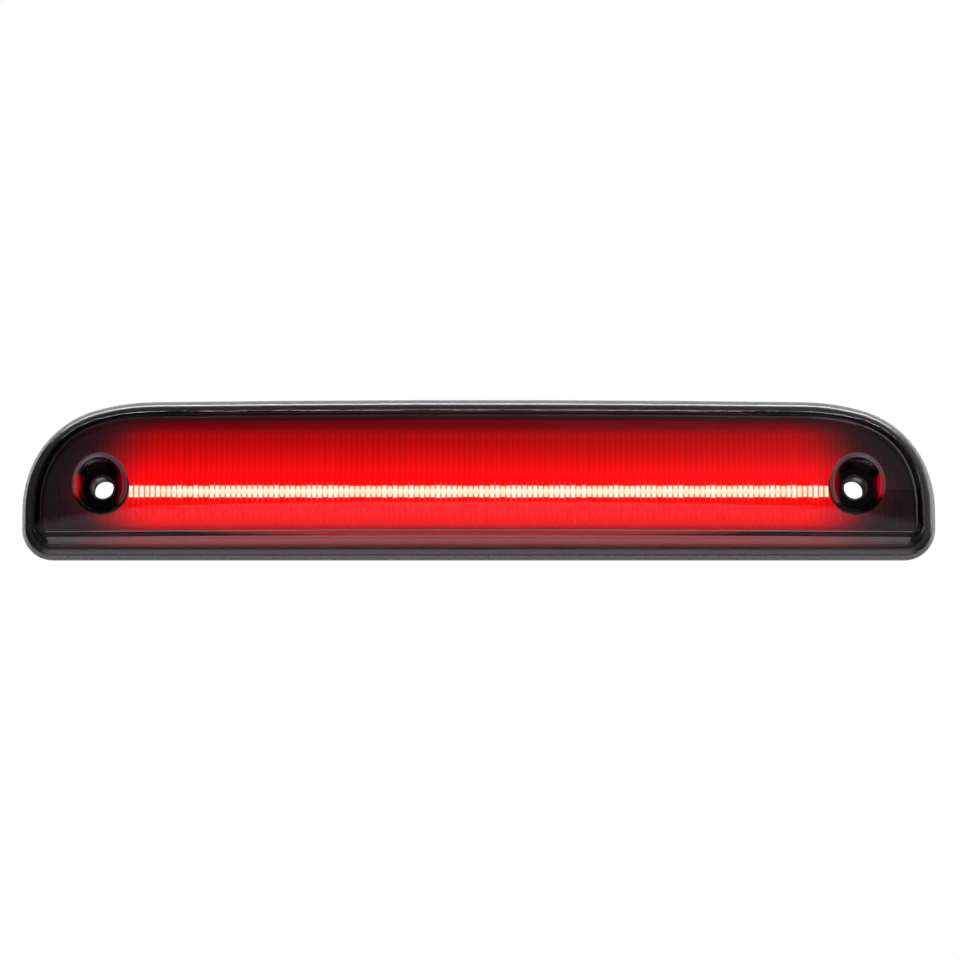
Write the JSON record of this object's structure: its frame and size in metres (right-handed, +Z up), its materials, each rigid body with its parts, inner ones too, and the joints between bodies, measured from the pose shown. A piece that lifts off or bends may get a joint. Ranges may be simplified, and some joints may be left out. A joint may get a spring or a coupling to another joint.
{
  "type": "third brake light",
  "caption": "Sealed LED high-mount brake lamp: long smoked domed lens with two screw wells, fluted red diffuser and light bar, black housing, foam gasket.",
  "frame": {"origin": "midway between the two screw holes, on the mounting plane at the back of the gasket", "axes": "+X along the lamp, +Z up, -Y out of the lens, +Y into the vehicle"},
  "size_m": [0.342, 0.032, 0.0603],
  "materials": {
    "smoked_lens": "gloss",
    "housing": "fine texture",
    "foam": "closed-cell foam",
    "sealant": "cured bead",
    "red_diffuser": "fluted gloss",
    "tray": "satin",
    "light_bar": "lit clear bar",
    "board": "solder mask",
    "led_package": "lit LED",
    "chip_black": "moulded package",
    "ceramic_tan": "fired body",
    "screw_steel": "zinc plated",
    "inlet_plastic": "moulded",
    "terminal_brass": "tinned",
    "seal_rubber": "silicone",
    "membrane": "porous film"
  },
  "bodies": {
    "root": {"outer_lens": "smoked_lens", "rear_housing": "housing", "foam_gasket": "foam", "boss_seals": "foam", "screw_spacers": "screw_steel", "lens_seal": "sealant", "well_seals": "sealant", "inner_lens": "red_diffuser", "reflector": "tray", "light_guide": "light_bar", "circuit_board": "board", "leds": "led_package", "led_resistors": "chip_black", "driver_chip": "chip_black", "polarity_diode": "chip_black", "surge_suppressor": "chip_black", "filter_capacitors": "ceramic_tan", "board_screws": "screw_steel", "tray_screws": "screw_steel", "connector_inlet": "inlet_plastic", "connector_pins": "terminal_brass", "inlet_seal": "seal_rubber", "vent_membrane": "membrane", "vent_cap": "inlet_plastic"}
  },
  "joints": []
}
